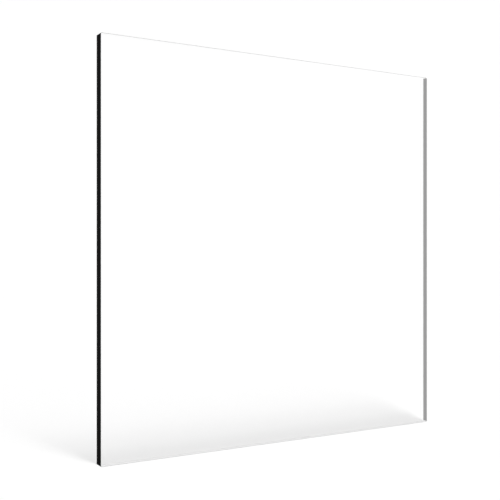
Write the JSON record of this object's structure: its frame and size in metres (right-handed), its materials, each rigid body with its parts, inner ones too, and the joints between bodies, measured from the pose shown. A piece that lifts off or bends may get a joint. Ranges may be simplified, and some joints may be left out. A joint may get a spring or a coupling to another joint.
{
  "type": "clear acrylic sheet",
  "caption": "Clear acrylic sheet cut to a square, with glass-clear faces and squared, finished edges.",
  "frame": {"origin": "centre of the back face, on the surface that the sheet lies on", "axes": "+X across the sheet and +Y up it, as it is seen from the front when upright; +Z out of the front face, along the thickness"},
  "size_m": [0.3, 0.3, 0.008],
  "materials": {
    "clear_acrylic": "clear, as-cast gloss on both faces, fine-milled cut edges that look dark at a slant"
  },
  "bodies": {
    "root": {"acrylic_sheet": "clear_acrylic"}
  },
  "joints": []
}
